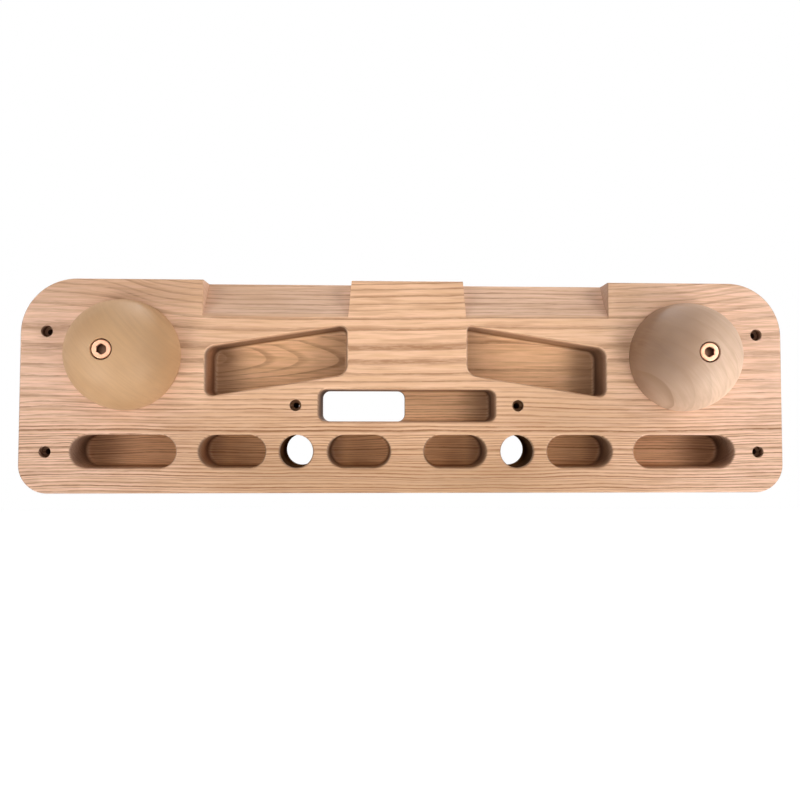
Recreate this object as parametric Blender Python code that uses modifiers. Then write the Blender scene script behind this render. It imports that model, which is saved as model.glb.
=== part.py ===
"""Wooden hangboard: one ash plank with finger pockets, two sloping ledges and two bolted half-balls.

X runs to the right as the climber faces the board, the front faces -Y and +Z is up. The back lies in
the plane y = 0. The origin is on the back, on the centre line, level with the upper wall screws.
Lengths are in metres. The board is symmetric about x = 0 except for the slot, whose left half goes
right through.
"""

import math

import bmesh
import bpy
from mathutils import Matrix, Vector

# Sizes of the board, counted outwards from its centre line
centre_web = 0.031
two_finger_width = 0.057
two_finger_web = 0.0135
mono_width = 0.030
mono_web = 0.013
three_finger_width = 0.060
three_finger_web = 0.0205
four_finger_width = 0.094
end_wall = 0.0465
block_width = 0.1085
sloper_length = 0.13275
slant_pocket_inset = 0.00145
slant_pocket_width = 0.1282
slant_pocket_angle = math.radians(9.5)
slot_width = 0.162
slot_split = -0.001
ball_inset = 0.0945
outer_screw_inset = 0.024
middle_screw_gap = 0.021

# Sizes of the board, counted upwards from its bottom edge
bottom_wall = 0.023
row_height = 0.030
row_web = 0.01225
slot_height = 0.0295
slot_web = 0.014
slant_pocket_height = 0.0457
ledge_wall = 0.00655
sloper_drop = 0.034
lower_screw_rise = 0.0375
upper_screw_drop = 0.0485
ball_drop = 0.070

# Sizes of the board, counted backwards from its front face
pocket_depth = 0.030
back_wall = 0.015
sloper_depth = 0.0215
sloper_hollow = 0.0016
block_taper = 0.003
screw_head_bore = 0.0105
screw_head_depth = 0.007
screw_hole = 0.0055

# Radii
top_corner_round = 0.050
bottom_corner_round = 0.026
slant_pocket_round = 0.008
slot_round = 0.007
lip_round = 0.002
floor_round = 0.004
back_lip_round = 0.001
edge_round = 0.002
back_edge_round = 0.001

# Sizes of the half-balls, bolts and T-nuts
ball_radius = 0.050
ball_base_round = 0.0006
bolt_diameter = 0.010
thread_step = 0.001
thread_length = 0.032
head_diameter = 0.016
head_height = 0.010
head_round = 0.001
head_sink = 0.0008
hex_across_flats = 0.008
hex_depth = 0.005
bolt_tip_margin = 0.004
barrel_wall = 0.0013
barrel_length = 0.012
flange_diameter = 0.025
flange_thickness = 0.002
flange_sink = 0.0005
prong_length = 0.007
prong_width = 0.005
prong_thickness = 0.0012
prong_count = 4

# Clearances
seat_gap = 0.0003
bolt_clearance = 0.0005
head_clearance = 0.001
overcut = 0.005

# Facets of a full turn, and of a quarter round
pocket_facets = 32
screw_facets = 16
ball_facets = 48
bolt_facets = 36
round_steps = 3

# What follows from the sizes
half_row = centre_web / 2 + two_finger_width + two_finger_web + mono_width + mono_web
half_row += three_finger_width + three_finger_web + four_finger_width
board_width = 2 * (half_row + end_wall)
board_height = bottom_wall + row_height + row_web + slot_height + slot_web
board_height += slant_pocket_height + ledge_wall + sloper_drop
board_thickness = pocket_depth + back_wall
front = -board_thickness
top = upper_screw_drop
bottom = top - board_height
slot_low = bottom + bottom_wall + row_height + row_web
ball_x = board_width / 2 - ball_inset
ball_z = top - ball_drop
thread_diameter = bolt_diameter - thread_step
head_bore = head_diameter + 2 * head_clearance
bolt_bore = bolt_diameter + 2 * bolt_clearance
ball_rim = math.sqrt(ball_radius**2 - (head_bore / 2) ** 2)
ball_seat = ball_rim - head_sink - head_height
ball_base_y = front - seat_gap
bolt_seat_y = ball_base_y - ball_seat - seat_gap
bolt_length = -bolt_seat_y - bolt_tip_margin
nut_bore = thread_diameter + 2 * seat_gap
barrel_diameter = nut_bore + 2 * barrel_wall
sides = {"left": -1, "right": 1}


def clear_scene():
    for item in list(bpy.data.objects):
        bpy.data.objects.remove(item)


def make_collection(name):
    collection = bpy.data.collections.new(name)
    bpy.context.scene.collection.children.link(collection)
    return collection


def make_material(name, colour, roughness, metallic=0.0):
    material = bpy.data.materials.new(name)
    material.use_nodes = True
    shader = material.node_tree.nodes["Principled BSDF"]
    shader.inputs["Base Color"].default_value = (*colour, 1.0)
    shader.inputs["Roughness"].default_value = roughness
    shader.inputs["Metallic"].default_value = metallic
    return material


def add_object(name, mesh, collection, material=None):
    item = bpy.data.objects.new(name, mesh)
    collection.objects.link(item)
    if material:
        mesh.materials.append(material)
    return item


def hide_as_cutter(item):
    item.hide_render = True
    item.display_type = "WIRE"
    return item


def cut(item, cutter):
    boolean = item.modifiers.new("cut_" + cutter.name, "BOOLEAN")
    boolean.operation = "DIFFERENCE"
    boolean.object = cutter


def join(item, other):
    boolean = item.modifiers.new("join_" + other.name, "BOOLEAN")
    boolean.operation = "UNION"
    boolean.object = other


def shade(item, angle=math.radians(35)):
    item.data.shade_smooth()
    item.data.set_sharp_from_angle(angle=angle)


def quarter_round(radius):
    """(sideways, forwards) steps of a quarter circle that leaves sideways and ends forwards."""
    turns = [math.pi / 2 * step / round_steps for step in range(round_steps + 1)]
    return [(radius * math.sin(turn), radius * (1 - math.cos(turn))) for turn in turns]


def rounded_outline(corners, rounds, grow=0.0):
    """(x, z) points of a convex polygon with rounded corners, anticlockwise, moved outwards by grow."""
    points = []
    for index, (corner, radius) in enumerate(zip(corners, rounds)):
        before = (Vector(corner) - Vector(corners[index - 1])).normalized()
        after = (Vector(corners[(index + 1) % len(corners)]) - Vector(corner)).normalized()
        start = Vector((before.y, -before.x))
        end = Vector((after.y, -after.x))
        centre = Vector(corner) - (start + end) * radius / (1 + start.dot(end))
        turn = math.acos(start.dot(end))
        steps = max(2, round(pocket_facets * turn / (2 * math.pi)))
        first = math.atan2(start.y, start.x)
        for step in range(steps + 1):
            angle = first + turn * step / steps
            points.append(centre + (radius + grow) * Vector((math.cos(angle), math.sin(angle))))
    kept = [point for index, point in enumerate(points) if (point - points[index - 1]).length > 1e-6]
    return kept


def rectangle(left, right, low, high):
    return [(left, low), (right, low), (right, high), (left, high)]


def finish_mesh(name, bm, collection, material=None):
    bmesh.ops.recalc_face_normals(bm, faces=bm.faces)
    mesh = bpy.data.meshes.new(name)
    bm.to_mesh(mesh)
    bm.free()
    return add_object(name, mesh, collection, material)


def mouth(y, inwards, lip):
    """(grow, y) sections of a mouth at depth y, from outside the board over its rounded lip."""
    return [(lip, y - inwards * overcut)] + [(lip - x, y + inwards * step)
                                             for x, step in quarter_round(lip)]


def floor(y, radius):
    """(grow, y) sections of a rounded floor at depth y."""
    return [(x - radius, y - step) for x, step in reversed(quarter_round(radius))]


def lofted_cutter(name, corners, rounds, sections):
    """A cutter through (grow, y) sections of one rounded outline."""
    bm = bmesh.new()
    rings = []
    for grow, y in sections:
        verts = [bm.verts.new((x, y, z)) for x, z in rounded_outline(corners, rounds, grow)]
        rings.append([bm.edges.new((verts[index - 1], vert)) for index, vert in enumerate(verts)])
    for ring, following in zip(rings, rings[1:]):
        bmesh.ops.bridge_loops(bm, edges=ring + following)
    for ring in (rings[0], rings[-1]):
        bmesh.ops.contextual_create(bm, geom=ring)
    return hide_as_cutter(finish_mesh(name, bm, cutters))


def pocket(name, corners, rounds):
    return lofted_cutter(name, corners, rounds,
                         mouth(front, 1, lip_round) + floor(front + pocket_depth, floor_round))


def hole_through(name, corners, rounds):
    return lofted_cutter(name, corners, rounds,
                         mouth(front, 1, lip_round) + mouth(0, -1, back_lip_round)[::-1])


def mirrored(corners, side):
    """The corners on the chosen side, kept anticlockwise."""
    return corners if side > 0 else [(-x, z) for x, z in reversed(corners)]


def turned(name, profile, facets, collection, material=None):
    """A solid turned about local Z, which is then laid along -Y, out of the board's front.

    The profile runs down the outer side. One that starts off the axis is closed into a ring.
    """
    mesh = bpy.data.meshes.new(name)
    points = [(radius, 0, height) for radius, height in profile]
    edges = [(i, i + 1) for i in range(len(points) - 1)]
    if points[0][0] > 0:
        edges.append((len(points) - 1, 0))
    mesh.from_pydata(points, edges, [])
    item = add_object(name, mesh, collection, material)
    item.rotation_euler = (math.pi / 2, 0, 0)
    screw = item.modifiers.new("turn", "SCREW")
    screw.steps = facets
    screw.render_steps = facets
    screw.use_merge_vertices = True
    screw.merge_threshold = 0.00001
    screw.use_smooth_shade = False
    return item


def cylinder(name, radius, y0, y1, x, z, facets, collection, material=None):
    """A cylinder along Y between two depths, with its origin on its axis."""
    bm = bmesh.new()
    lay_down = Matrix(((1, 0, 0, 0), (0, 0, -1, (y0 + y1) / 2), (0, 1, 0, 0), (0, 0, 0, 1)))
    bmesh.ops.create_cone(bm, cap_ends=True, segments=facets, radius1=radius, radius2=radius,
                          depth=abs(y1 - y0), matrix=lay_down)
    item = finish_mesh(name, bm, collection, material)
    item.location = (x, 0, z)
    return item


def drilled(name, radius, y0, y1, x, z, facets):
    return hide_as_cutter(cylinder(name, radius, y0, y1, x, z, facets, cutters))


def board_blank():
    """The plank's outline, thick as the board, with its edges rounded."""
    corners = rectangle(-board_width / 2, board_width / 2, bottom, top)
    rounds = [bottom_corner_round, bottom_corner_round, top_corner_round, top_corner_round]
    bm = bmesh.new()
    face = bm.faces.new([bm.verts.new((x, 0, z)) for x, z in rounded_outline(corners, rounds)])
    made = bmesh.ops.extrude_face_region(bm, geom=[face], use_keep_orig=True)["geom"]
    verts = [part for part in made if isinstance(part, bmesh.types.BMVert)]
    bmesh.ops.translate(bm, vec=(0, front, 0), verts=verts)
    bmesh.ops.recalc_face_normals(bm, faces=bm.faces)
    for y, radius in ((front, edge_round), (0, back_edge_round)):
        edges = [edge for edge in bm.edges if all(abs(vert.co.y - y) < 1e-6 for vert in edge.verts)]
        bmesh.ops.bevel(bm, geom=edges, offset=radius, offset_type="OFFSET", segments=round_steps,
                        profile=0.5, affect="EDGES")
    return finish_mesh("board", bm, parts, ash)


def finger_row():
    """Cutters of the bottom row, two of each kind, laid outwards from the centre web."""
    made = []
    row = (("two_finger", two_finger_width, two_finger_web, pocket),
           ("mono", mono_width, mono_web, hole_through),
           ("three_finger", three_finger_width, three_finger_web, pocket),
           ("four_finger", four_finger_width, 0, pocket))
    low = bottom + bottom_wall
    reach = centre_web / 2
    for kind, width, web, cutter in row:
        corners = rectangle(reach, reach + width, low, low + row_height)
        rounds = [min(row_height, width) / 2] * 4
        made += [cutter(word + "_" + kind, mirrored(corners, side), rounds) for word, side in sides.items()]
        reach += width + web
    return made


def slant_pockets():
    """The two pockets under the ledges. Their inner ends are the higher ones."""
    inner = block_width / 2 + slant_pocket_inset
    outer = inner + slant_pocket_width
    fall = slant_pocket_width * math.tan(slant_pocket_angle)
    low = slot_low + slot_height + slot_web
    high = low + slant_pocket_height
    corners = [(inner, low), (outer, low - fall), (outer, high - fall), (inner, high)]
    return [pocket(word + "_slant_pocket", mirrored(corners, side), [slant_pocket_round] * 4)
            for word, side in sides.items()]


def slot():
    """A long blind slot, and the opening from its left half to the back."""
    left, high = -slot_width / 2, slot_low + slot_height
    rounds = [slot_round] * 4
    opening = [(0, front + lip_round)] + mouth(0, -1, back_lip_round)[::-1]
    return [pocket("slot", rectangle(left, -left, slot_low, high), rounds),
            lofted_cutter("slot_opening", rectangle(left, slot_split, slot_low, high), rounds, opening)]


def slopers():
    """The two ledges cut into the top edge beside the centre block, each slightly hollow."""
    low = top - sloper_drop
    across = Vector((sloper_drop, -sloper_depth)).normalized()
    start, end = Vector((front, low)), Vector((front + sloper_depth, top))
    along = (end - start).normalized()
    steps = 2 * round_steps
    outline = [start - along * overcut]
    for step in range(steps + 1):
        share = step / steps
        outline.append(start.lerp(end, share) + across * sloper_hollow * 4 * share * (1 - share))
    outline += [end + along * overcut, Vector((front - overcut, top + 2 * overcut)),
                Vector((front - overcut, low))]
    made = []
    for word, side in sides.items():
        bm = bmesh.new()
        verts = [bm.verts.new((0, y, z)) for y, z in outline]
        for vert in verts:
            vert.co.x = side * (block_width / 2 - block_taper * (vert.co.z - low) / sloper_drop)
        extruded = bmesh.ops.extrude_face_region(bm, geom=[bm.faces.new(verts)], use_keep_orig=True)["geom"]
        for vert in [part for part in extruded if isinstance(part, bmesh.types.BMVert)]:
            vert.co.x = side * (block_width / 2 + sloper_length)
        made.append(hide_as_cutter(finish_mesh(word + "_sloper", bm, cutters)))
    return made


def wall_screw_holes():
    """Stepped holes: four near the corners and two beside the slot."""
    outer = board_width / 2 - outer_screw_inset
    middle = slot_width / 2 + middle_screw_gap
    places = {"upper": (outer, 0), "lower": (outer, bottom + lower_screw_rise),
              "middle": (middle, slot_low + slot_height / 2)}
    made = []
    for row, (x, z) in places.items():
        for word, side in sides.items():
            name = word + "_" + row + "_screw"
            made.append(drilled(name + "_head_bore", screw_head_bore / 2, front - overcut,
                                front + screw_head_depth, side * x, z, screw_facets))
            made.append(drilled(name + "_hole", screw_hole / 2, front - overcut, overcut, side * x, z,
                                screw_facets))
    return made


def bolt_holes():
    """Stepped holes behind the half-balls: flange recess, prong slits, barrel bore and bolt bore."""
    recess = flange_sink + flange_thickness + seat_gap
    barrel_end = flange_sink + flange_thickness + barrel_length + seat_gap
    steps = (("flange_recess", flange_diameter / 2 + seat_gap, -recess),
             ("barrel_bore", barrel_diameter / 2 + seat_gap, -barrel_end),
             ("bolt_bore", bolt_bore / 2, front - overcut))
    made = []
    for word, side in sides.items():
        made += [drilled(word + "_" + kind, radius, overcut, depth, side * ball_x, ball_z, bolt_facets)
                 for kind, radius, depth in steps]
        made += prongs(word, side, seat_gap)
    return made


def prongs(word, side, gap):
    """The T-nut's bent prongs, or with a gap the slits that they make in the board."""
    made = []
    start = flange_sink + flange_thickness / 2
    length = flange_thickness / 2 + prong_length + gap
    radius = (flange_diameter - prong_width) / 2
    size = (prong_thickness + 2 * gap, length, prong_width + 2 * gap)
    for number in range(prong_count):
        bm = bmesh.new()
        bmesh.ops.create_cube(bm, size=1, matrix=Matrix.Diagonal((*size, 1)))
        turn = Matrix.Rotation(2 * math.pi * (number + 0.5) / prong_count, 4, "Y")
        bmesh.ops.transform(bm, verts=bm.verts,
                            matrix=turn @ Matrix.Translation((radius, -start - length / 2, 0)))
        name = "{}_{}_{}".format(word, "prong_slit" if gap else "prong", number + 1)
        prong = finish_mesh(name, bm, cutters)
        prong.location = (side * ball_x, 0, ball_z)
        made.append(hide_as_cutter(prong))
    return made


def make_board():
    board = board_blank()
    for cutter in finger_row() + slant_pockets() + slot() + slopers() + wall_screw_holes() + bolt_holes():
        cut(board, cutter)
    shade(board)


def make_ball(word, side):
    """A half-ball with a counterbored hole. Its flat lies against the board."""
    bore, head = bolt_bore / 2, head_bore / 2
    rim_angle = math.asin(head / ball_radius)
    foot_angle = math.acos(ball_base_round / ball_radius)
    steps = ball_facets // 4
    arc = [rim_angle + (foot_angle - rim_angle) * step / steps for step in range(steps + 1)]
    profile = [(bore, ball_seat), (head, ball_seat)]
    profile += [(ball_radius * math.sin(angle), ball_radius * math.cos(angle)) for angle in arc]
    profile += [(ball_radius - ball_base_round, 0), (bore, 0)]
    ball = turned(word + "_ball", profile, ball_facets, parts, ball_wood)
    ball.location = (side * ball_x, ball_base_y, ball_z)
    shade(ball)


def make_bolt(word, side):
    """A socket-head cap screw. The threaded end is drawn at its mean diameter."""
    shank, thread, head = bolt_diameter / 2, thread_diameter / 2, head_diameter / 2
    crown = [(head - head_round + x, head_height - y) for x, y in quarter_round(head_round)]
    profile = [(0, head_height)] + crown + [(head, 0), (shank, 0), (shank, thread_length - bolt_length),
                                            (thread, thread_length - bolt_length - thread_step / 2),
                                            (thread, thread_step - bolt_length),
                                            (thread - thread_step, -bolt_length), (0, -bolt_length)]
    bolt = turned(word + "_bolt", profile, bolt_facets, parts, zinc_gold)
    bolt.location = (side * ball_x, bolt_seat_y, ball_z)
    head_top = bolt_seat_y - head_height
    corner_radius = hex_across_flats / 2 / math.cos(math.pi / 6)
    socket = drilled(word + "_hex_socket", corner_radius, head_top - overcut, head_top + hex_depth,
                     side * ball_x, ball_z, 6)
    socket.rotation_euler.y = math.pi / bolt_facets
    cut(bolt, socket)
    shade(bolt)


def make_t_nut(word, side):
    """A T-nut let into the back of the board: flange, barrel and prongs."""
    x, z = side * ball_x, ball_z
    shoulder = flange_sink + flange_thickness
    nut = cylinder(word + "_t_nut", flange_diameter / 2, -flange_sink, -shoulder, x, z, bolt_facets, parts,
                   zinc)
    barrel = drilled(word + "_barrel", barrel_diameter / 2, -flange_sink - flange_thickness / 2,
                     -shoulder - barrel_length, x, z, bolt_facets)
    for piece in [barrel] + prongs(word, side, 0):
        join(nut, piece)
    cut(nut, drilled(word + "_nut_bore", nut_bore / 2, overcut, -shoulder - barrel_length - overcut, x, z,
                     bolt_facets))
    shade(nut)


clear_scene()
parts = make_collection("hangboard")
cutters = make_collection("cutters")
ash = make_material("ash", (0.77, 0.48, 0.30), 0.55)
ball_wood = make_material("ball_wood", (0.58, 0.38, 0.21), 0.5)
zinc_gold = make_material("zinc_gold", (0.80, 0.60, 0.42), 0.35, 1.0)
zinc = make_material("zinc", (0.60, 0.61, 0.63), 0.4, 1.0)
make_board()
for side_name, side_sign in sides.items():
    make_ball(side_name, side_sign)
    make_bolt(side_name, side_sign)
    make_t_nut(side_name, side_sign)
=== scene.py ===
"""Hangboard dressed for its picture: an ash plank, two turned half-balls, and their bolts and T-nuts.

Lengths are in metres. The board's back lies in the plane y = 0 and its front faces -Y.
"""

import math

import bmesh
import bpy
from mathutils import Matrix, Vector


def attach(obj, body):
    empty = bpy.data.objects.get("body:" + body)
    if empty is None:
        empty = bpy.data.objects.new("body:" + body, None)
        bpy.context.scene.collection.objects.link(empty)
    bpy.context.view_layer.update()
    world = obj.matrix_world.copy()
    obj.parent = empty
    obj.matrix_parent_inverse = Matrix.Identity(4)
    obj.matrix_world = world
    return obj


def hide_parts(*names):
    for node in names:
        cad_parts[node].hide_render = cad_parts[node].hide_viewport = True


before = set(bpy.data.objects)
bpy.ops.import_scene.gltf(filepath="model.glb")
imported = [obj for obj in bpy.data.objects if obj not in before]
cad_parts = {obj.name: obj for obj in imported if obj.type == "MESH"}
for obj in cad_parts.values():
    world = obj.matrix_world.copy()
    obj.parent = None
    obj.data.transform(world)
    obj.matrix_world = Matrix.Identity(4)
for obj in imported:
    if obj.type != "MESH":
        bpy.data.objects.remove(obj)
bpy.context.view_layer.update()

# The plank
half_width = 0.350
top = 0.0485
bottom = -0.1465
front = -0.045
upper_corner = 0.050
lower_corner = 0.026
lip = 0.002
back_lip = 0.001
broken_edge = 0.0006

# The finger row. A pocket's reach is from the centre line to its inner and outer end
row_low = -0.1235
row_high = -0.0935
row_reaches = {"two": (0.0155, 0.0725), "three": (0.129, 0.189), "four": (0.2095, 0.3035)}
row_corner = 0.015
mono_x = 0.101
mono_z = (row_low + row_high) / 2
mono_radius = (row_high - row_low) / 2
pocket_floor = -0.015
floor_round = 0.004

# The slot, the slanted pockets and the ledges
slot_low = -0.08125
slot_high = -0.05175
slot_reach = 0.081
slot_split = -0.001
slot_corner = 0.007
slant_reach = (0.0557, 0.1839)
slant_low = -0.03775
slant_high = 0.00795
slant_fall = 0.02145
slant_corner = 0.008
tight_corner = 0.005
ledge_reach = (0.05425, 0.187)
ledge_foot = 0.0145
ledge_depth = 0.0215
ledge_hollow = 0.0016
block_taper = 0.003

# The half-balls
ball_x = 0.2555
ball_z = -0.0215
ball_base = -0.0453
ball_radius = 0.050
ball_seat = -0.08368
base_round = 0.0006
head_bore = 0.009
bolt_bore = 0.0055

# The bolts
head_top = -0.09398
bolt_seat = -0.08398
head_radius = 0.008
head_round = 0.0010
shank_radius = 0.0050
thread_root = 0.00425
thread_crest = 0.0047
thread_start = -0.0355
thread_step = 0.0015
thread_ridges = 20
socket_half = 0.004
socket_depth = 0.0050
bolt_tip = -0.004

# The T-nuts. A prong's reach is from the bolt's axis to its inner and outer edge
flange_radius = 0.0125
flange_back = -0.0005
flange_front = -0.0025
barrel_radius = 0.0061
barrel_end = -0.0145
nut_crest = 0.0048
nut_root = 0.0052
nut_step = 0.0014
nut_ridges = 9
prong_turns = (45, 135, 225, 315)
prong_reach = (0.0075, 0.0125)
prong_back = -0.0015
prong_tip = -0.0095
prong_half = 0.0006
slit_gap = 0.0003

# The stepped holes. Each step is (radius, depth reached), and the last goes out at the far side
through = 0.047
screw_places = ((0.326, 0.0), (0.326, -0.109), (0.102, -0.0665))
screw_steps = ((0.00525, 0.007), (0.00275, through))
bolt_steps = ((0.0128, 0.0028), (0.0064, 0.0148), (bolt_bore, through))

# How far a cutter stands out of the wood, and how finely it is rounded
overcut = 0.002
round_steps = 4
corner_steps = 14

near = 1e-5
weld = 1e-6
sides = {"left": -1, "right": 1}


def clear_selection():
    """Leave nothing selected, so that an operator reaches the new piece alone."""
    if bpy.context.mode != "OBJECT":
        bpy.ops.object.mode_set(mode="OBJECT")
    bpy.ops.object.select_all(action="DESELECT")


def take(piece):
    """Select one piece and make it the active one."""
    clear_selection()
    piece.select_set(True)
    bpy.context.view_layer.objects.active = piece


def edit(piece):
    take(piece)
    bpy.ops.object.mode_set(mode="EDIT")


def settle(piece):
    """Put the place, turn and size of a piece into its mesh."""
    take(piece)
    bpy.ops.object.transform_apply(location=True, rotation=True, scale=True)


def pick(kind, test):
    """In edit mode, select only the vertices, edges or faces that the test names."""
    bpy.ops.mesh.select_mode(type=kind)
    bpy.ops.mesh.select_all(action="DESELECT")
    mesh = bpy.context.object.data
    shape = bmesh.from_edit_mesh(mesh)
    for part in {"VERT": shape.verts, "EDGE": shape.edges, "FACE": shape.faces}[kind]:
        if test(part):
            part.select_set(True)
    shape.select_flush_mode()
    bmesh.update_edit_mesh(mesh)


def along_y(edge, x, z):
    """True for an edge that runs from front to back at x and z."""
    return all(abs(vert.co.x - x) < near and abs(vert.co.z - z) < near for vert in edge.verts)


def at_depth(part, y):
    return all(abs(vert.co.y - y) < near for vert in part.verts)


def add_box(name, left, right, back, face, low, high):
    """A box between two values on each axis."""
    clear_selection()
    middle = ((left + right) / 2, (back + face) / 2, (low + high) / 2)
    bpy.ops.mesh.primitive_cube_add(size=1, location=middle,
                                    scale=(right - left, abs(face - back), high - low))
    box = bpy.context.object
    box.name = name
    settle(box)
    return box


def add_drum(name, x, z, radius, start, end, facets):
    """A cylinder along Y."""
    clear_selection()
    bpy.ops.mesh.primitive_cylinder_add(vertices=facets, radius=radius, depth=abs(end - start),
                                        location=(x, (start + end) / 2, z), rotation=(math.pi / 2, 0, 0))
    drum = bpy.context.object
    drum.name = name
    settle(drum)
    return drum


def shrink_and_push(inwards, deeper):
    """Carry the selected face on: smaller all round by inwards, and deeper along Y."""
    if abs(inwards) > 1e-9:
        bpy.ops.mesh.inset(thickness=inwards, depth=0, use_boundary=True, use_even_offset=True)
        bpy.ops.transform.translate(value=(0, deeper, 0))
    else:
        bpy.ops.mesh.extrude_region_move(TRANSFORM_OT_translate={"value": (0, deeper, 0)})


def quarter_turn(steps):
    """The pairs of angles that follow each other through a quarter turn."""
    turns = [math.pi / 2 * step / steps for step in range(steps + 1)]
    return zip(turns, turns[1:])


def over_lip(radius, way, steps=round_steps):
    """Carry the selected face over a rounded lip that starts level with the plank's face."""
    for before, after in quarter_turn(steps):
        shrink_and_push(radius * (math.sin(after) - math.sin(before)),
                        way * radius * (math.cos(before) - math.cos(after)))


def into_floor(radius):
    """Carry the selected face round into a floor."""
    for before, after in quarter_turn(round_steps):
        shrink_and_push(radius * (math.cos(before) - math.cos(after)),
                        radius * (math.sin(after) - math.sin(before)))


def close_up():
    """Weld the mesh in edit mode, turn its faces outwards, and leave edit mode."""
    bpy.ops.mesh.select_all(action="SELECT")
    bpy.ops.mesh.remove_doubles(threshold=weld)
    bpy.ops.mesh.normals_make_consistent(inside=False)
    bpy.ops.object.mode_set(mode="OBJECT")


def true_up(piece):
    """Set the vertices on a grid of a thousandth of a millimetre, so that walls in line are in one plane."""
    for vert in piece.data.vertices:
        vert.co = [round(value, 6) for value in vert.co]


def finish_tool(tool):
    close_up()
    true_up(tool)
    return tool


def combine(piece, other, operation):
    """Join another piece to this one, or take it out of this one, and remove it."""
    take(piece)
    step = piece.modifiers.new("combine", "BOOLEAN")
    step.operation = operation
    step.solver = "EXACT"
    step.object = other
    bpy.ops.object.modifier_apply(modifier=step.name)
    bpy.data.objects.remove(other)


def cut_away(piece, tools):
    """Take the joined tools out of the piece."""
    take(tools[0])
    for tool in tools:
        tool.select_set(True)
    if len(tools) > 1:
        bpy.ops.object.join()
    combine(piece, bpy.context.object, "DIFFERENCE")


def soften_and_shade(piece, width=0.0):
    """Break the sharp edges, and let broad flat faces shade flat beside them."""
    sharp = math.radians(30)
    take(piece)
    if width:
        bevel = piece.modifiers.new("soften", "BEVEL")
        bevel.width = width
        bevel.segments = 2
        bevel.limit_method = "ANGLE"
        bevel.angle_limit = sharp
        bpy.ops.object.modifier_apply(modifier=bevel.name)
    bpy.ops.object.shade_smooth_by_angle(angle=sharp)
    weigh = piece.modifiers.new("weigh", "WEIGHTED_NORMAL")
    weigh.keep_sharp = True
    bpy.ops.object.modifier_apply(modifier=weigh.name)


def router_tool(name, left, right, low, high, corners, fall=0.0):
    """The space that a router clears: soft mouth, straight wall and rounded floor.

    The corners' radii run from the lower left one anticlockwise. The side away from the centre line is
    lower by fall.
    """
    tool = add_box(name, left - lip, right + lip, front, front - overcut, low - lip, high + lip)
    edit(tool)
    outer = right + lip if abs(right) > abs(left) else left - lip
    if fall:
        pick("VERT", lambda vert: abs(vert.co.x - outer) < near)
        bpy.ops.transform.translate(value=(0, 0, -fall))
    places = [(left - lip, low - lip), (right + lip, low - lip), (right + lip, high + lip),
              (left - lip, high + lip)]
    for (x, z), radius in zip(places, corners):
        level = z - fall if x == outer else z
        pick("EDGE", lambda edge: along_y(edge, x, level))
        bpy.ops.mesh.bevel(offset=radius + lip, segments=corner_steps, affect="EDGES")
    bpy.ops.mesh.select_all(action="SELECT")
    bpy.ops.mesh.remove_doubles(threshold=weld)
    pick("FACE", lambda face: at_depth(face, front))
    over_lip(lip, 1)
    shrink_and_push(0, pocket_floor - floor_round - front - lip)
    into_floor(floor_round)
    return finish_tool(tool)


def back_opening_tool():
    """The slot's left half, opened to the back of the plank."""
    left, right = -slot_reach - back_lip, slot_split + back_lip
    low, high = slot_low - back_lip, slot_high + back_lip
    tool = add_box("slot_opening", left, right, overcut, 0, low, high)
    edit(tool)
    for x in (left, right):
        for z in (low, high):
            pick("EDGE", lambda edge: along_y(edge, x, z))
            bpy.ops.mesh.bevel(offset=slot_corner + back_lip, segments=corner_steps, affect="EDGES")
    pick("FACE", lambda face: at_depth(face, 0))
    over_lip(back_lip, -1)
    shrink_and_push(0, front + lip + back_lip)
    return finish_tool(tool)


def mono_tool(name, x):
    """A hole for one finger, right through the plank, with both mouths rounded."""
    tool = add_drum(name, x, mono_z, mono_radius + lip, front - overcut, front, 72)
    edit(tool)
    pick("FACE", lambda face: at_depth(face, front))
    over_lip(lip, 1)
    shrink_and_push(0, -front - lip - back_lip)
    for before, after in quarter_turn(round_steps):
        was = mono_radius + back_lip * (1 - math.cos(before))
        grown = mono_radius + back_lip * (1 - math.cos(after))
        deeper = back_lip * (math.sin(after) - math.sin(before))
        bpy.ops.mesh.extrude_region_move(TRANSFORM_OT_translate={"value": (0, deeper, 0)})
        bpy.ops.transform.resize(value=(grown / was, 1, grown / was), center_override=(x, 0, mono_z))
    shrink_and_push(0, overcut)
    return finish_tool(tool)


def stepped_tool(name, x, z, start, way, steps, facets=48):
    """A stepped hole, bored along Y from start."""
    edge_break = 0.0003
    radius = steps[0][0]
    tool = add_drum(name, x, z, radius + edge_break, start - way * overcut, start, facets)
    edit(tool)
    pick("FACE", lambda face: at_depth(face, start))
    over_lip(edge_break, way, 2)
    reached = edge_break
    for wide, depth in steps:
        if wide < radius:
            shrink_and_push(radius - wide, 0)
            radius = wide
        shrink_and_push(0, way * (depth - reached))
        reached = depth
    return finish_tool(tool)


def ledge_tool(side):
    """A big drum laid along the ledge, which leaves it sloping and slightly hollow."""
    inner, outer = ledge_reach
    slope = Vector((0, ledge_depth, top - ledge_foot))
    out = Vector((0, -slope.z, slope.y)).normalized()
    radius = slope.length ** 2 / (8 * ledge_hollow) + ledge_hollow / 2
    middle = Vector((0, front + ledge_depth / 2, (top + ledge_foot) / 2)) + out * (radius - ledge_hollow)
    clear_selection()
    bpy.ops.mesh.primitive_cylinder_add(vertices=480, radius=radius, depth=outer - inner,
                                        location=(side * (inner + outer) / 2, middle.y, middle.z),
                                        rotation=(0, math.pi / 2, 0))
    tool = bpy.context.object
    settle(tool)
    for vert in tool.data.vertices:
        if abs(vert.co.x) < (inner + outer) / 2:
            vert.co.x -= side * block_taper * (vert.co.z - ledge_foot) / (top - ledge_foot)
    true_up(tool)
    return tool


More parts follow.
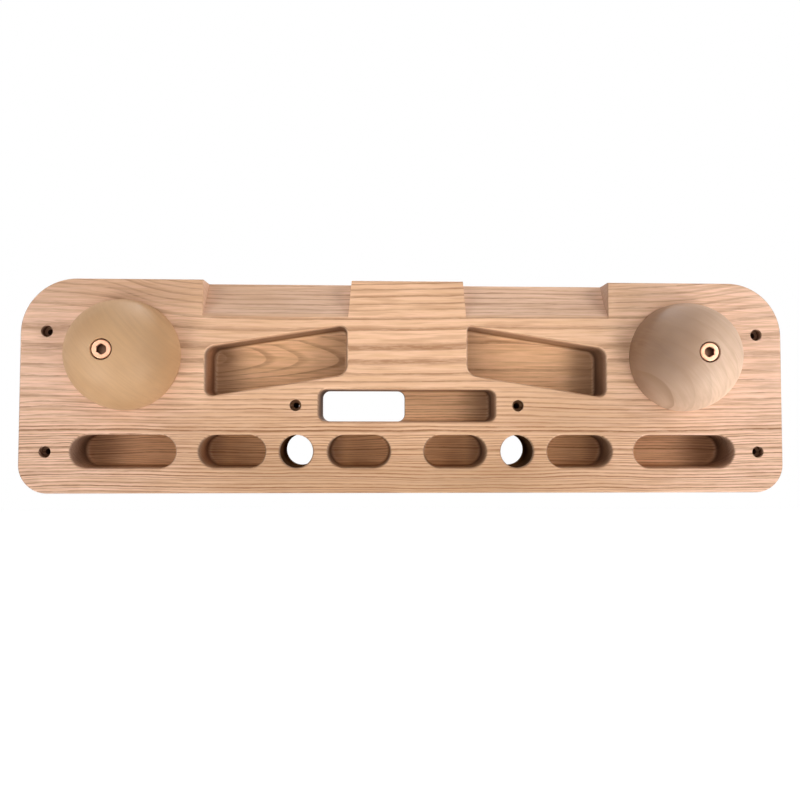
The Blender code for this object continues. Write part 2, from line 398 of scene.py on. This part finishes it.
def prong_box(name, x, turn, gap):
    """A straight blade beside a bolt's axis, turned about it, or with a gap the slit for one."""
    inner, outer = prong_reach
    prong = add_box(name, x + inner - gap, x + outer + gap, prong_back, prong_tip - gap,
                    ball_z - prong_half - gap, ball_z + prong_half + gap)
    bpy.context.view_layer.update()
    bpy.ops.transform.rotate(value=-math.radians(turn), orient_axis="Y", center_override=(x, 0, ball_z))
    settle(prong)
    return prong


def plank():
    """The board: a blank with rounded corners, routed, bored and cut."""
    board = add_box("ash_board", -half_width, half_width, 0, front, bottom, top)
    edit(board)
    for z, radius in ((top, upper_corner), (bottom, lower_corner)):
        for x in (-half_width, half_width):
            pick("EDGE", lambda edge: along_y(edge, x, z))
            bpy.ops.mesh.bevel(offset=radius, segments=20, affect="EDGES")
    for y, radius, steps in ((front, lip, 4), (0, back_lip, 3)):
        pick("EDGE", lambda edge: at_depth(edge, y))
        bpy.ops.mesh.bevel(offset=radius, segments=steps, affect="EDGES")
    bpy.ops.object.mode_set(mode="OBJECT")
    true_up(board)

    tools = []
    for word, side in sides.items():
        for kind, reach in row_reaches.items():
            left, right = sorted(side * end for end in reach)
            tools.append(router_tool(word + "_" + kind, left, right, row_low, row_high, [row_corner] * 4))
        left, right = sorted(side * end for end in slant_reach)
        corners = [slant_corner] * 3 + [slant_corner if side < 0 else tight_corner]
        tools.append(router_tool(word + "_slant", left, right, slant_low, slant_high, corners, slant_fall))
        tools.append(mono_tool(word + "_mono", side * mono_x))
        for x, z in screw_places:
            tools.append(stepped_tool(word + "_screw_hole", side * x, z, front, 1, screw_steps))
        tools.append(stepped_tool(word + "_bolt_hole", side * ball_x, ball_z, 0, -1, bolt_steps, 64))
    tools.append(router_tool("slot", -slot_reach, slot_reach, slot_low, slot_high, [slot_corner] * 4))
    cut_away(board, tools)

    # The opening and the slits meet the first cutters, so they come out in a second cut
    tools = [back_opening_tool()]
    for side in sides.values():
        tools.append(ledge_tool(side))
        for turn in prong_turns:
            tools.append(prong_box("slit", side * ball_x, turn, slit_gap))
    cut_away(board, tools)
    soften_and_shade(board, broken_edge)
    return board


def turned(name, x, profile, facets):
    """Draw a (radius, y) profile as a chain of vertices, and spin it about an axis along Y."""
    clear_selection()
    bpy.ops.mesh.primitive_plane_add(size=0.001)
    piece = bpy.context.object
    piece.name = name
    edit(piece)
    bpy.ops.mesh.select_mode(type="VERT")
    bpy.ops.mesh.select_all(action="SELECT")
    bpy.ops.mesh.merge(type="CENTER")
    here = (x + profile[0][0], profile[0][1], ball_z)
    bpy.ops.transform.translate(value=here)
    for before, after in zip(profile, profile[1:]):
        step = (after[0] - before[0], after[1] - before[1], 0)
        bpy.ops.mesh.extrude_vertices_move(TRANSFORM_OT_translate={"value": step})
    bpy.ops.mesh.select_all(action="SELECT")
    bpy.ops.mesh.spin(steps=facets, angle=2 * math.pi, center=(x, 0, ball_z), axis=(0, 1, 0))
    close_up()
    return piece


def arc(centre, radius, first, last, steps):
    """(radius, y) points on an arc, with angles in degrees from the way out of the axis towards -Y."""
    points = []
    for step in range(steps + 1):
        turn = math.radians(first + (last - first) * step / steps)
        points.append((centre[0] + radius * math.cos(turn), centre[1] - radius * math.sin(turn)))
    return points


def half_ball(word, x):
    """A turned half-ball with a counterbore for the bolt's head."""
    foot = math.degrees(math.asin(base_round / ball_radius))
    rim = math.degrees(math.acos((head_bore + 0.0004) / ball_radius))
    profile = [(bolt_bore, ball_base), (ball_radius - base_round, ball_base)]
    profile += arc((0, ball_base), ball_radius, foot, rim, 40)
    profile += [(head_bore + 0.0001, ball_base - 0.0488), (head_bore, ball_base - 0.0484)]
    profile += [(head_bore, ball_seat), (bolt_bore, ball_seat), (bolt_bore, ball_base)]
    ball = turned(word + "_half_ball", x, profile, 112)
    soften_and_shade(ball)
    return ball


def bolt(word, x):
    """A socket-head cap screw with ridges in place of its thread."""
    profile = [(0, head_top), (0.0068, head_top)]
    profile += reversed(arc((head_radius - head_round, head_top + head_round), head_round, 0, 90, 4))
    profile += [(head_radius, bolt_seat - 0.0004), (head_radius - 0.0004, bolt_seat), (0.0054, bolt_seat),
                (shank_radius, bolt_seat + 0.0005), (shank_radius, -0.0365), (thread_root, -0.03575)]
    for ridge in range(thread_ridges):
        y = thread_start + thread_step * ridge
        profile += [(thread_root, y), (thread_crest, y + 0.0006), (thread_crest, y + 0.0009)]
    profile += [(thread_root, -0.0055), (0.00415, -0.0050), (0.0034, bolt_tip), (0, bolt_tip)]
    made = turned(word + "_cap_screw", x, profile, 64)
    socket = add_drum("socket", x, ball_z, socket_half / math.cos(math.pi / 6), head_top - overcut,
                      head_top + socket_depth, 6)
    cut_away(made, [socket])

    # The socket's mouth is countersunk
    clear_selection()
    bpy.ops.mesh.primitive_cone_add(vertices=64, radius1=0.0052, radius2=0.0036, depth=0.0016,
                                    location=(x, head_top + 0.0003, ball_z), rotation=(-math.pi / 2, 0, 0))
    mouth = bpy.context.object
    settle(mouth)
    cut_away(made, [mouth])
    soften_and_shade(made)
    return made


def t_nut(word, x):
    """A T-nut: a flange with four prongs, and a barrel with ridges in place of its thread."""
    profile = [(nut_crest, flange_back), (0.0122, flange_back)]
    profile += arc((0.0121, flange_back - 0.0004), 0.0004, -90, 0, 3)
    profile += [(flange_radius, flange_front), (0.0067, flange_front), (barrel_radius, flange_front - 0.0006),
                (barrel_radius, barrel_end + 0.0004), (0.0057, barrel_end), (0.0051, barrel_end)]
    for ridge in range(nut_ridges):
        y = barrel_end + 0.0006 + nut_step * ridge
        profile += [(nut_crest, y), (nut_crest, y + 0.0003), (nut_root, y + 0.0008)]
    profile += [(nut_crest, flange_back)]
    nut = turned(word + "_t_nut_body", x, profile, 64)
    for turn in prong_turns:
        combine(nut, prong_box("prong", x, turn, 0), "UNION")
    soften_and_shade(nut)
    return nut


def node(tree, kind, inputs=None, **settings):
    """A shader node. Its inputs are numbers, colours or other nodes' outputs."""
    made = tree.nodes.new(kind)
    for key, value in settings.items():
        setattr(made, key, value)
    for key, value in (inputs or {}).items():
        if isinstance(value, bpy.types.NodeSocket):
            tree.links.new(value, made.inputs[key])
        else:
            made.inputs[key].default_value = value
    return made


def calc(tree, operation, first, second=0.0, third=None):
    """The result of one step of arithmetic."""
    inputs = {0: first, 1: second}
    if third is not None:
        inputs[2] = third
    return node(tree, "ShaderNodeMath", inputs, operation=operation).outputs[0]


def times(tree, first, *others):
    """The product of two or more values."""
    for other in others:
        first = calc(tree, "MULTIPLY", first, other)
    return first


def add_scaled(tree, start, value, scale):
    """Start, plus a value times a scale."""
    return calc(tree, "MULTIPLY_ADD", value, scale, start)


def all_but(tree, share):
    return calc(tree, "SUBTRACT", 1.0, share)


def length_of(tree, across, along):
    """The length of a line that goes so far across and so far along."""
    squares = calc(tree, "ADD", times(tree, across, across), times(tree, along, along))
    return calc(tree, "SQRT", squares)


def apart(tree, vector):
    """The three parts of a place or a direction."""
    return list(node(tree, "ShaderNodeSeparateXYZ", {0: vector}).outputs)


def rising(tree, value, low, high, first=0.0, last=1.0, smooth=True):
    """From first, where the value is low, to last, where it is high."""
    kind = "SMOOTHSTEP" if smooth else "LINEAR"
    return node(tree, "ShaderNodeMapRange", {"Value": value, "From Min": low, "From Max": high,
                                             "To Min": first, "To Max": last},
                interpolation_type=kind).outputs["Result"]


def falling(tree, value, low, high, last=0.0):
    """From one, where the value is low, to last, where it is high."""
    return rising(tree, value, low, high, 1.0, last)


def stretched_noise(tree, place, stretch, detail=2.0, roughness=0.5, shift=(0, 0, 0)):
    """Noise whose features are 1/stretch metres long on each axis."""
    mapped = node(tree, "ShaderNodeMapping", {"Vector": place, "Scale": stretch, "Location": shift})
    return node(tree, "ShaderNodeTexNoise", {"Vector": mapped.outputs[0], "Scale": 1.0, "Detail": detail,
                                             "Roughness": roughness}).outputs[0]


def blend_colours(tree, share, first, second, way="MIX"):
    """A share of the second colour over the first. A colour is three numbers or a node's output."""
    first, second = (one if isinstance(one, bpy.types.NodeSocket) else (*one, 1) for one in (first, second))
    return node(tree, "ShaderNodeMix", {0: share, 6: first, 7: second}, data_type="RGBA",
                blend_type=way).outputs[2]


def tinted(tree, share, wood, tint):
    """A colour, multiplied by the tint where the share is one."""
    return blend_colours(tree, share, wood, tint, "MULTIPLY")


def new_finish(name):
    material = bpy.data.materials.new(name)
    material.use_nodes = True
    tree = material.node_tree
    return material, tree, tree.nodes["Principled BSDF"]


def add_bump(tree, shader, height, strength, depth):
    bump = node(tree, "ShaderNodeBump", {"Height": height, "Strength": strength, "Distance": depth})
    tree.links.new(bump.outputs[0], shader.inputs["Normal"])


def ash_finish():
    """Bare sanded ash. The growth rings run along X, about a pith that lies just behind the plank."""
    material, tree, shader = new_finish("sanded_ash")
    coordinates = node(tree, "ShaderNodeTexCoord").outputs
    place = coordinates["Object"]
    x, y, z = apart(tree, place)
    facing = apart(tree, coordinates["Normal"])
    across = calc(tree, "ABSOLUTE", x)
    cut = calc(tree, "SUBTRACT", y, front)

    # The rings rise towards both ends of the upper part, as the stem bends there
    rise = node(tree, "ShaderNodeFloatCurve", {"Value": rising(tree, x, -0.35, 0.35, smooth=False)})
    curve = rise.mapping.curves[0]
    heights = ((0.0, 0.90), (0.106, 0.68), (0.237, 0.03), (0.32, 0.0), (0.42, 0.0), (0.58, 0.15),
               (0.70, 0.17), (0.77, 0.17), (0.973, 0.60), (1.0, 0.64))
    curve.points[0].location = heights[0]
    curve.points[1].location = heights[-1]
    for spot in heights[1:-1]:
        curve.points.new(*spot)
    rise.mapping.update()
    lift = times(tree, rise.outputs[0], rising(tree, z, -0.080, 0.050), 0.030)
    height = calc(tree, "SUBTRACT", z, lift)

    # They waver, from broad and strong to fine and weak
    for stretch, shift, reach in (((5, 16, 16), (0, 0, 0), 0.010), ((26, 70, 70), (3, 1, 7), 0.0012),
                                  ((130, 300, 300), (5, 2, 8), 0.0006)):
        sway = calc(tree, "SUBTRACT", stretched_noise(tree, place, stretch, shift=shift), 0.5)
        height = add_scaled(tree, height, sway, reach)
    flow = node(tree, "ShaderNodeCombineXYZ", {0: x, 1: y, 2: height}).outputs[0]

    # Distance from the pith. It comes nearer towards the left, and the rings lean forwards at the ledges
    pith_drop = 0.021
    pith_depth = 0.065
    offset = calc(tree, "ADD", height, pith_drop)
    offset = times(tree, offset, falling(tree, offset, -0.020, 0.025, 0.75))
    nearing = add_scaled(tree, 0.844, calc(tree, "MINIMUM", x, 0.0), -2.0)
    behind = calc(tree, "SUBTRACT", pith_depth, times(tree, cut, nearing))
    leaning = add_scaled(tree, pith_depth, cut, 0.2)
    up = rising(tree, z, 0.0, ledge_foot)
    depth = node(tree, "ShaderNodeMix", {0: up, 2: behind, 3: leaning}, data_type="FLOAT").outputs[0]
    radius = length_of(tree, offset, depth)

    # Years of uneven width, each with a strength of its own
    rings_per_metre = 450.0
    uneven = node(tree, "ShaderNodeTexNoise", {"W": times(tree, radius, 130.0), "Scale": 1.0, "Detail": 1.0},
                  noise_dimensions="1D").outputs[0]
    years = add_scaled(tree, times(tree, radius, rings_per_metre), uneven, 1.6)
    season = calc(tree, "FRACT", years)
    year = calc(tree, "FLOOR", years)
    strength = node(tree, "ShaderNodeTexWhiteNoise", {"W": year}, noise_dimensions="1D").outputs["Value"]
    strength = add_scaled(tree, 0.40, strength, 0.60)

    # Where a spot lies: on wood cut across the fibres, high on the plank, level with the slanted pockets or
    # higher, out towards its ends, below the ledges or the front face, or clear of the back, the bottom and
    # the ends, where nothing is routed
    ends = rising(tree, calc(tree, "ABSOLUTE", facing[0]), 0.15, 0.95)
    high_up = rising(tree, z, -0.095, -0.045)
    slant_level = rising(tree, z, -0.045, -0.035)
    aside = rising(tree, across, 0.06, 0.15)
    far = rising(tree, across, 0.12, 0.34)
    below_ledge = falling(tree, z, slant_high, ledge_foot)
    below_face = rising(tree, cut, 0.001, 0.004)
    off_back = falling(tree, y, -0.010, -0.002)
    off_bottom = rising(tree, z, bottom + 0.002, row_low - 0.004)
    off_ends = falling(tree, across, 0.306, 0.312)

    # Each spring's porous line, which starts sharply and fades into the summer wood. High up, where the
    # rings are cut flatter and lie farther apart, the lines are slimmer, and paler towards the ends. They
    # are paler too on the pockets' floors, and most of all on the pockets' end walls
    fade = add_scaled(tree, 0.62, high_up, -0.20)
    spring = times(tree, rising(tree, season, 0.0, 0.06), falling(tree, season, 0.12, fade))
    patches = rising(tree, stretched_noise(tree, place, (18, 120, 120), 3.0, shift=(1, 5, 2)), 0.30, 0.62)
    dashes = rising(tree, stretched_noise(tree, place, (110, 700, 700), 2.0, shift=(8, 3, 6)), 0.30, 0.60)
    broken = calc(tree, "ADD", times(tree, patches, 0.30), add_scaled(tree, 0.45, dashes, 0.35))
    boldness = add_scaled(tree, 1.35, times(tree, high_up, aside), -0.25)
    boldness = add_scaled(tree, boldness, high_up, -0.45)
    boldness = add_scaled(tree, boldness, far, -0.20)
    boldness = times(tree, boldness, falling(tree, cut, 0.010, 0.030, 0.75))
    boldness = times(tree, boldness, add_scaled(tree, 1.0, times(tree, ends, off_ends), -0.75))
    line = times(tree, spring, strength, broken, boldness)

    # Pores as fine flecks, fibres, and brown threads that follow the rings
    pores = rising(tree, stretched_noise(tree, place, (70, 1500, 1500), 2.0, 0.6), 0.52, 0.70)
    fleck = times(tree, pores, add_scaled(tree, 0.22, spring, 0.65))
    fibre = stretched_noise(tree, place, (30, 900, 900), 3.0, 0.6, (2, 9, 4))
    threads = rising(tree, stretched_noise(tree, flow, (16, 330, 330), 2.0, shift=(6, 2, 5)), 0.48, 0.64)
    threads = times(tree, threads, all_but(tree, ends))

    # Browner low on the plank, paler deep in the pockets as painted light (less so in the row), and pinker
    # towards the ends
    broad = rising(tree, stretched_noise(tree, place, (4, 9, 14), 2.0, shift=(7, 3, 1)), 0.3, 0.7)
    tone = add_scaled(tree, times(tree, broad, 0.45), rising(tree, z, -0.145, 0.0), 0.55)
    sunk = times(tree, rising(tree, cut, 0.006, 0.030), off_back, all_but(tree, up), off_bottom, off_ends)
    tone = add_scaled(tree, tone, sunk, rising(tree, z, -0.095, -0.085, 0.10, 0.60))
    tan = blend_colours(tree, tone, (0.425, 0.258, 0.146), (0.765, 0.480, 0.312))
    tan = blend_colours(tree, far, tan, (0.900, 0.585, 0.430))

    # The upper left is darker, and painted light makes the front just inboard of the half-balls paler, where
    # their shadows fall
    upper_left = times(tree, falling(tree, x, -0.160, -0.080), rising(tree, z, 0.015, 0.035))
    tan = tinted(tree, upper_left, tan, (0.86, 0.83, 0.78))
    inboard = times(tree, rising(tree, across, 0.170, 0.190), falling(tree, across, 0.215, 0.235),
                    rising(tree, z, -0.080, -0.050), falling(tree, z, 0.015, 0.035),
                    falling(tree, cut, 0.0, 0.003))
    tan = tinted(tree, inboard, tan, (1.16, 1.18, 1.20))

    tan = blend_colours(tree, rising(tree, fibre, 0.3, 0.7, 0.0, 0.55), tan, (0.560, 0.320, 0.165))
    tan = blend_colours(tree, times(tree, threads, 0.32), tan, (0.360, 0.180, 0.085))
    wood = blend_colours(tree, line, tan, (0.270, 0.120, 0.050))
    wood = blend_colours(tree, times(tree, fleck, 0.60), wood, (0.300, 0.140, 0.065))

    # Painted cool light from above makes the ledges greyer and paler. Painted warm bounce light makes the
    # pockets' floors brighter and redder, most of all in the row
    in_row = times(tree, sunk, falling(tree, z, -0.093, -0.085))
    wood = tinted(tree, times(tree, below_face, up), wood, (1.06, 1.11, 1.24))
    wood = tinted(tree, sunk, wood, (1.22, 1.18, 1.04))
    wood = tinted(tree, in_row, wood, (1.05, 0.93, 0.82))

    # The pockets' walls are dull, and painted shade darkens them, the more the deeper they are. Painted light
    # makes the outer walls of the left slanted and three-finger pockets warmer and brighter, and painted
    # shade makes those of the right slanted, three-finger and four-finger pockets darker. Painted shade
    # darkens all walls that look down, and again that of the left slanted pocket
    inside = times(tree, rising(tree, y, front + 0.001, front + 0.012), off_back, below_ledge, off_bottom,
                   falling(tree, across, 0.335, 0.345),
                   falling(tree, calc(tree, "ABSOLUTE", facing[1]), 0.2, 1.0, 0.1))
    left_wall = times(tree, inside, rising(tree, facing[0], 0.4, 0.8), rising(tree, x, -0.205, -0.195),
                      falling(tree, x, -0.120, -0.100))
    right_wall = times(tree, inside, falling(tree, facing[0], -0.8, -0.4), rising(tree, x, 0.120, 0.130))
    hanging = times(tree, inside, falling(tree, facing[2], -0.9, -0.3))
    left_hanging = times(tree, hanging, falling(tree, x, -0.055, -0.040), slant_level)
    wood = tinted(tree, inside, wood, (0.70, 0.66, 0.62))
    wood = tinted(tree, left_wall, wood, (1.45, 1.22, 1.02))
    wood = tinted(tree, right_wall, wood, (0.78, 0.74, 0.68))
    wood = tinted(tree, hanging, wood, (0.66, 0.63, 0.60))
    wood = tinted(tree, left_hanging, wood, (0.76, 0.72, 0.68))
    wood = tinted(tree, times(tree, inside, rising(tree, y, -0.030, -0.012)), wood, (0.50, 0.44, 0.38))

    # Painted shade makes the round holes darker still, and they are without any sheen
    holes = [(hole_x, hole_z, 0.0053, 0.50) for hole_x, hole_z in screw_places]
    holes.append((mono_x, mono_z, 0.0151, 0.36))
    drilled = 0.0
    folded = node(tree, "ShaderNodeCombineXYZ", {0: across, 2: z}).outputs[0]
    for hole_x, hole_z, hole_radius, shade in holes:
        away = node(tree, "ShaderNodeVectorMath", {0: folded, 1: (hole_x, 0, hole_z)},
                    operation="DISTANCE").outputs["Value"]
        bored = times(tree, falling(tree, away, hole_radius, hole_radius + 0.0006), below_face)
        wood = tinted(tree, bored, wood, (shade, shade * 0.92, shade * 0.84))
        drilled = calc(tree, "MAXIMUM", bored, drilled)

    # Painted shadow darkens the outer ends of the pockets' floors, as cast by their outer walls, and painted
    # shade a little the slanted ones' inner ends. Each row is where the darkening begins and ends, and the
    # floor's lowest and highest place
    painted_end_shade = 0.0
    for begin, end, low, high in ((0.235, 0.296, row_low, row_high), (0.166, 0.185, row_low, row_high),
                                  (0.055, 0.069, row_low, row_high), (0.052, 0.078, slot_low, slot_high),
                                  (0.145, 0.180, slant_low - slant_fall, slant_high)):
        spot = times(tree, rising(tree, across, begin, end), falling(tree, across, end + 0.008, end + 0.010),
                     rising(tree, z, low - 0.003, low), falling(tree, z, high, high + 0.003))
        painted_end_shade = calc(tree, "MAXIMUM", spot, painted_end_shade)
    inner_end = times(tree, rising(tree, across, 0.058, 0.080, 0.5, 0.0), slant_level)
    painted_end_shade = times(tree, calc(tree, "MAXIMUM", inner_end, painted_end_shade), sunk)
    wood = tinted(tree, painted_end_shade, wood, (0.55, 0.51, 0.48))

    # Cut across the fibres, the wood is much darker, partly as its own colour and partly as painted shade on
    # the pockets' end walls; painted light lessens it at the ledges' ends, above all at the left
    at_ledge = times(tree, rising(tree, z, slant_high, ledge_foot), falling(tree, across, 0.25, 0.27))
    painted_light_at_ledge_ends = times(tree, at_ledge, falling(tree, x, -0.1, 0.1, 0.35))
    ends = times(tree, ends, all_but(tree, painted_light_at_ledge_ends))
    wood = tinted(tree, ends, wood, (0.46, 0.44, 0.44))
    tree.links.new(wood, shader.inputs["Base Color"])

    # Rougher in the open pores, on the pockets' walls and across the fibres
    rough = rising(tree, line, 0.0, 1.0, 0.50, 0.66)
    rough = add_scaled(tree, add_scaled(tree, rough, ends, 0.15), inside, 0.15)
    tree.links.new(rough, shader.inputs["Roughness"])
    tree.links.new(rising(tree, drilled, 0.0, 1.0, 0.35, 0.0), shader.inputs["Specular IOR Level"])
    relief = calc(tree, "SUBTRACT", times(tree, fibre, 0.25), add_scaled(tree, fleck, line, 0.5))
    add_bump(tree, shader, relief, 0.25, 0.0002)
    return material


def ball_finish():
    """Turned close-grained wood. The left ball is even and brown, the right one greyer with a few rings."""
    material, tree, shader = new_finish("turned_wood")
    place = node(tree, "ShaderNodeTexCoord").outputs["Object"]
    x, _, z = apart(tree, place)
    right = rising(tree, x, -0.1, 0.1, smooth=False)

    # Painted light and shade: the right ball grows paler from its left to its right, and away from the level
    # of its middle
    lean = -0.4
    middle = ball_x + lean * ball_z
    painted_light_and_tone = rising(tree, add_scaled(tree, x, z, lean), middle - 0.054, middle + 0.046, smooth=False)
    from_middle = calc(tree, "ABSOLUTE", calc(tree, "SUBTRACT", z, ball_z))
    painted_light_and_tone = add_scaled(tree, painted_light_and_tone, from_middle, 2.4)

    # The rings' centre lies below and left of the right ball. The innermost ring on the ball is the darkest
    heart = node(tree, "ShaderNodeMapping", {"Vector": place, "Location": (-0.161, 0.0, 0.108)}).outputs[0]
    heart_x, _, heart_z = apart(tree, heart)
    sway = calc(tree, "SUBTRACT", stretched_noise(tree, place, (24, 24, 24), 2.0), 0.5)
    radius = add_scaled(tree, length_of(tree, heart_x, heart_z), sway, 0.006)
    years = add_scaled(tree, 0.80, radius, 70.0)
    season = calc(tree, "FRACT", years)
    line = times(tree, rising(tree, season, 0.60, 0.97), falling(tree, season, 0.97, 1.0))
    line = times(tree, line, times(tree, right, falling(tree, years, 6.9, 7.5, 0.28)))

    tilted = node(tree, "ShaderNodeMapping", {"Vector": place, "Rotation": (0.0, -0.80, 0.0)}).outputs[0]
    streaks = stretched_noise(tree, tilted, (30, 60, 500), 3.0, 0.6)
    broad = rising(tree, stretched_noise(tree, place, (26, 26, 26), 2.0, shift=(4, 4, 4)), 0.3, 0.7)
    brown = blend_colours(tree, broad, (0.530, 0.308, 0.152), (0.590, 0.354, 0.184))
    painted_light_and_tone = add_scaled(tree, times(tree, painted_light_and_tone, 0.85), broad, 0.15)
    grey = blend_colours(tree, painted_light_and_tone, (0.200, 0.096, 0.048), (0.790, 0.553, 0.400))
    tan = blend_colours(tree, right, brown, grey)
    tan = blend_colours(tree, rising(tree, streaks, 0.35, 0.7, 0.0, 0.25), tan, (0.430, 0.270, 0.150))
    wood = blend_colours(tree, times(tree, line, 0.55), tan, (0.330, 0.190, 0.105))
    tree.links.new(wood, shader.inputs["Base Color"])
    tree.links.new(rising(tree, streaks, 0.2, 0.8, 0.46, 0.58), shader.inputs["Roughness"])
    shader.inputs["Specular IOR Level"].default_value = 0.35
    add_bump(tree, shader, streaks, 0.15, 0.0001)
    return material


def plated_finish(name, pale, dull, smooth, rough, socket_shade=1.0):
    """Zinc plating, slightly clouded and with fine turning marks. Painted shade darkens it below a bolt's
    head face, in the socket.
    """
    material, tree, shader = new_finish(name)
    place = node(tree, "ShaderNodeTexCoord").outputs["Object"]
    cloud = rising(tree, stretched_noise(tree, place, (260, 260, 260), 3.0), 0.3, 0.7)
    plating = blend_colours(tree, cloud, dull, pale)
    sunk = rising(tree, apart(tree, place)[1], head_top + 0.0006, head_top + 0.0020)
    plating = tinted(tree, sunk, plating, (socket_shade, socket_shade, socket_shade))
    tree.links.new(plating, shader.inputs["Base Color"])
    tree.links.new(rising(tree, cloud, 0.0, 1.0, rough, smooth), shader.inputs["Roughness"])
    shader.inputs["Metallic"].default_value = 1.0
    marks = stretched_noise(tree, place, (900, 3500, 900), 2.0)
    add_bump(tree, shader, marks, 0.12, 0.00005)
    return material


def dress(piece, material, cad_node, body):
    """Give a piece its finish, and put it in its node's place."""
    piece.data.materials.clear()
    piece.data.materials.append(material)
    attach(piece, body)
    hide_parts(cad_node)


def softbox(name, aim, around, above, distance, size, watts, spread=180):
    """A square lamp, at two angles from straight in front of its aim. A small spread is a grid over it."""
    lamp = bpy.data.lights.new(name, "AREA")
    lamp.shape = "SQUARE"
    lamp.size = size
    lamp.spread = math.radians(spread)
    lamp.energy = watts
    side, lift = math.radians(around), math.radians(above)
    way = Vector((math.sin(side) * math.cos(lift), -math.cos(side) * math.cos(lift), math.sin(lift)))
    holder = bpy.data.objects.new(name, lamp)
    holder.location = Vector(aim) + way * distance
    holder.rotation_euler = way.to_track_quat("Z", "Y").to_euler()
    bpy.context.scene.collection.objects.link(holder)


def studio():
    """Camera, pale floor, white surroundings and soft lamps on both sides."""
    lens = bpy.data.cameras.new("camera")
    lens.lens = 27.56
    camera = bpy.data.objects.new("camera", lens)
    camera.location = (-0.0229, -0.6052, -0.0792)
    camera.rotation_euler = [math.radians(turn) for turn in (91.808, -0.090, -1.661)]
    bpy.context.scene.collection.objects.link(camera)
    bpy.context.scene.camera = camera

    clear_selection()
    bpy.ops.mesh.primitive_plane_add(size=12, location=(0, 0, -1.05))
    floor = bpy.context.object
    floor.name = "floor"
    settle(floor)
    material, tree, shader = new_finish("pale_floor")
    shader.inputs["Base Color"].default_value = (0.92, 0.92, 0.92, 1)
    shader.inputs["Roughness"].default_value = 0.9
    shader.inputs["Emission Color"].default_value = (1, 1, 1, 1)
    seen = node(tree, "ShaderNodeLightPath").outputs["Is Camera Ray"]
    tree.links.new(times(tree, seen, 0.85), shader.inputs["Emission Strength"])
    floor.data.materials.append(material)

    # White where the camera sees it, directly, mirrored or through glass, and dim as a light
    world = bpy.data.worlds.new("studio")
    world.use_nodes = True
    bpy.context.scene.world = world
    tree = world.node_tree
    paths = node(tree, "ShaderNodeLightPath").outputs
    seen = calc(tree, "MAXIMUM", paths["Is Camera Ray"], paths["Is Glossy Ray"])
    seen = calc(tree, "MAXIMUM", seen, paths["Is Transmission Ray"])
    backdrop = tree.nodes["Background"]
    backdrop.inputs["Color"].default_value = (1, 1, 1, 1)
    tree.links.new(rising(tree, seen, 0, 1, 0.12, 1.0, smooth=False), backdrop.inputs["Strength"])

    left_part, middle, right_part = ((x, 0, -0.05) for x in (-0.25, 0, 0.25))
    softbox("right_low", right_part, 48, -38, 1.0, 0.8, 1.50, 44)
    softbox("right_side", right_part, 50, 12, 1.0, 0.8, 0.98, 44)
    softbox("left_low", left_part, -42, -38, 1.0, 0.8, 1.00, 40)
    softbox("left_side", left_part, -50, 12, 1.0, 0.8, 0.66, 40)
    softbox("front_fill", middle, 0, -12, 1.4, 0.6, 0.20, 50)
    softbox("overhead", middle, 0, 80, 1.3, 0.9, 6)
    softbox("behind", middle, 180, 50, 1.6, 0.9, 21)
    bpy.context.scene.view_settings.view_transform = "Standard"


ash = ash_finish()
turned_wood = ball_finish()
# The yellow zinc's last number is the painted shade in its bolts' sockets
yellow_zinc = plated_finish("yellow_zinc", (0.84, 0.46, 0.31), (0.74, 0.40, 0.25), 0.36, 0.46, 0.20)
bright_zinc = plated_finish("bright_zinc", (0.72, 0.73, 0.75), (0.55, 0.56, 0.58), 0.30, 0.48)

dress(plank(), ash, "board", "board")
for word, side in sides.items():
    dress(half_ball(word, side * ball_x), turned_wood, word + "_ball", word + "_ball")
    dress(bolt(word, side * ball_x), yellow_zinc, word + "_bolt", word + "_bolt")
    dress(t_nut(word, side * ball_x), bright_zinc, word + "_t_nut", "board")
studio()
